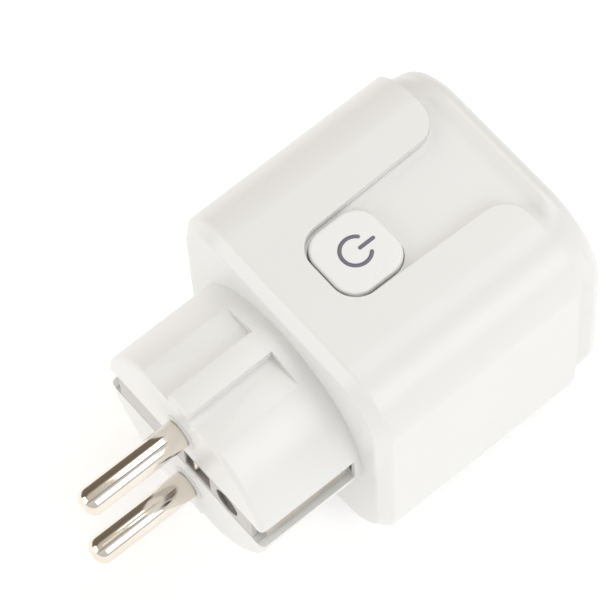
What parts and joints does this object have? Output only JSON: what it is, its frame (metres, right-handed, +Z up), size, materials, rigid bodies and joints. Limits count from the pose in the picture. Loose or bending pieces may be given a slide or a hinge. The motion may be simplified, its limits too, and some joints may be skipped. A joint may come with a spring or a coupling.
{
  "type": "plug in power meter",
  "caption": "Plug in power meter: a rounded square body with a round earthed plug behind, a power button on top and a sunk outlet in front.",
  "frame": {"origin": "centre of the plug's face, midway between the two pins", "axes": "+Y along the pins, into the wall socket; +Z up, on the button's side, with one pin above the other; the outlet faces -Y"},
  "size_m": [0.048, 0.0836, 0.0492],
  "materials": {
    "casing_plastic": "warm white moulded plastic, satin",
    "button_plastic": "warm white moulded plastic, satin",
    "symbol_plastic": "translucent grey inlay",
    "insert_plastic": "light grey moulded plastic",
    "nickel": "bright nickel plate",
    "contact_brass": "bare stamped brass",
    "spring_steel": "drawn wire",
    "screw_steel": "zinc plated",
    "thermoset": "dark heat-resistant plastic",
    "shutter_plastic": "white moulded plastic",
    "board_laminate": "green glass-fibre board",
    "radio_laminate": "dark blue board",
    "relay_plastic": "dark blue moulded plastic",
    "coil_copper": "enamelled copper wire",
    "soft_iron": "plated soft iron",
    "film_box": "yellow box capacitor",
    "can_aluminium": "sleeved can",
    "ferrite": "dark ferrite",
    "varistor_coat": "blue dipped coating",
    "chip_epoxy": "black moulded epoxy",
    "shunt_alloy": "copper nickel alloy strip",
    "can_tinplate": "tinned steel can",
    "lamp_lens": "clear cast resin",
    "diffuser": "frosted clear plastic"
  },
  "bodies": {
    "meter": {"rear_housing": "casing_plastic", "front_housing": "casing_plastic", "face_insert": "insert_plastic", "upper_pin": "nickel", "lower_pin": "nickel", "pin_carrier": "thermoset", "plug_earth_bracket": "nickel", "earth_sleeve": "nickel", "outlet_earth_clips": "nickel", "upper_tulip": "contact_brass", "lower_tulip": "contact_brass", "contact_block": "thermoset", "shutter_frame": "thermoset", "shutter_spring": "spring_steel", "contact_screws": "screw_steel", "board_screws": "screw_steel", "switch_case": "chip_epoxy", "button_board": "board_laminate", "status_lamps": "lamp_lens", "light_guide": "diffuser", "board_link_pins": "contact_brass", "power_board": "board_laminate", "relay_base": "relay_plastic", "relay_cover": "relay_plastic", "relay_coil": "coil_copper", "relay_yoke": "soft_iron", "filter_capacitor": "film_box", "bulk_capacitor": "can_aluminium", "power_inductor": "ferrite", "surge_varistor": "varistor_coat", "inline_fuse": "chip_epoxy", "bridge_rectifier": "chip_epoxy", "metering_chip": "chip_epoxy", "supply_chip": "chip_epoxy", "current_shunt": "shunt_alloy", "radio_board": "radio_laminate", "radio_shield": "can_tinplate"},
    "button": {"button_cap": "button_plastic", "power_symbol": "symbol_plastic"},
    "switch_stem": {"switch_stem": "shutter_plastic"},
    "shutter": {"shutter_slider": "shutter_plastic"},
    "armature": {"relay_armature": "soft_iron"}
  },
  "joints": [
    {"name": "button_press", "type": "slide", "parent": "meter", "child": "button", "axis": [0, 0, -1], "range_m": [0, 0.0005], "stiffness_N_per_m": 2500, "springref_m": -0.00012},
    {"name": "stem_press", "type": "slide", "parent": "meter", "child": "switch_stem", "axis": [0, 0, -1], "range_m": [0, 0.0005]},
    {"name": "shutter_slide", "type": "slide", "parent": "meter", "child": "shutter", "axis": [0, 0, 1], "range_m": [0, 0.0062], "stiffness_N_per_m": 60, "springref_m": -0.003, "deforming": ["shutter_spring"]},
    {"name": "armature_pull", "type": "hinge", "parent": "meter", "child": "armature", "pos_m": [0.012, -0.0372, 0.0064], "axis": [-1, 0, 0], "range_deg": [0, 1.8], "stiffness_Nm_per_rad": 0.01, "springref_deg": -1.15}
  ],
  "couplings": [
    {"joint": "stem_press", "follows": "button_press", "ratio": 1}
  ]
}
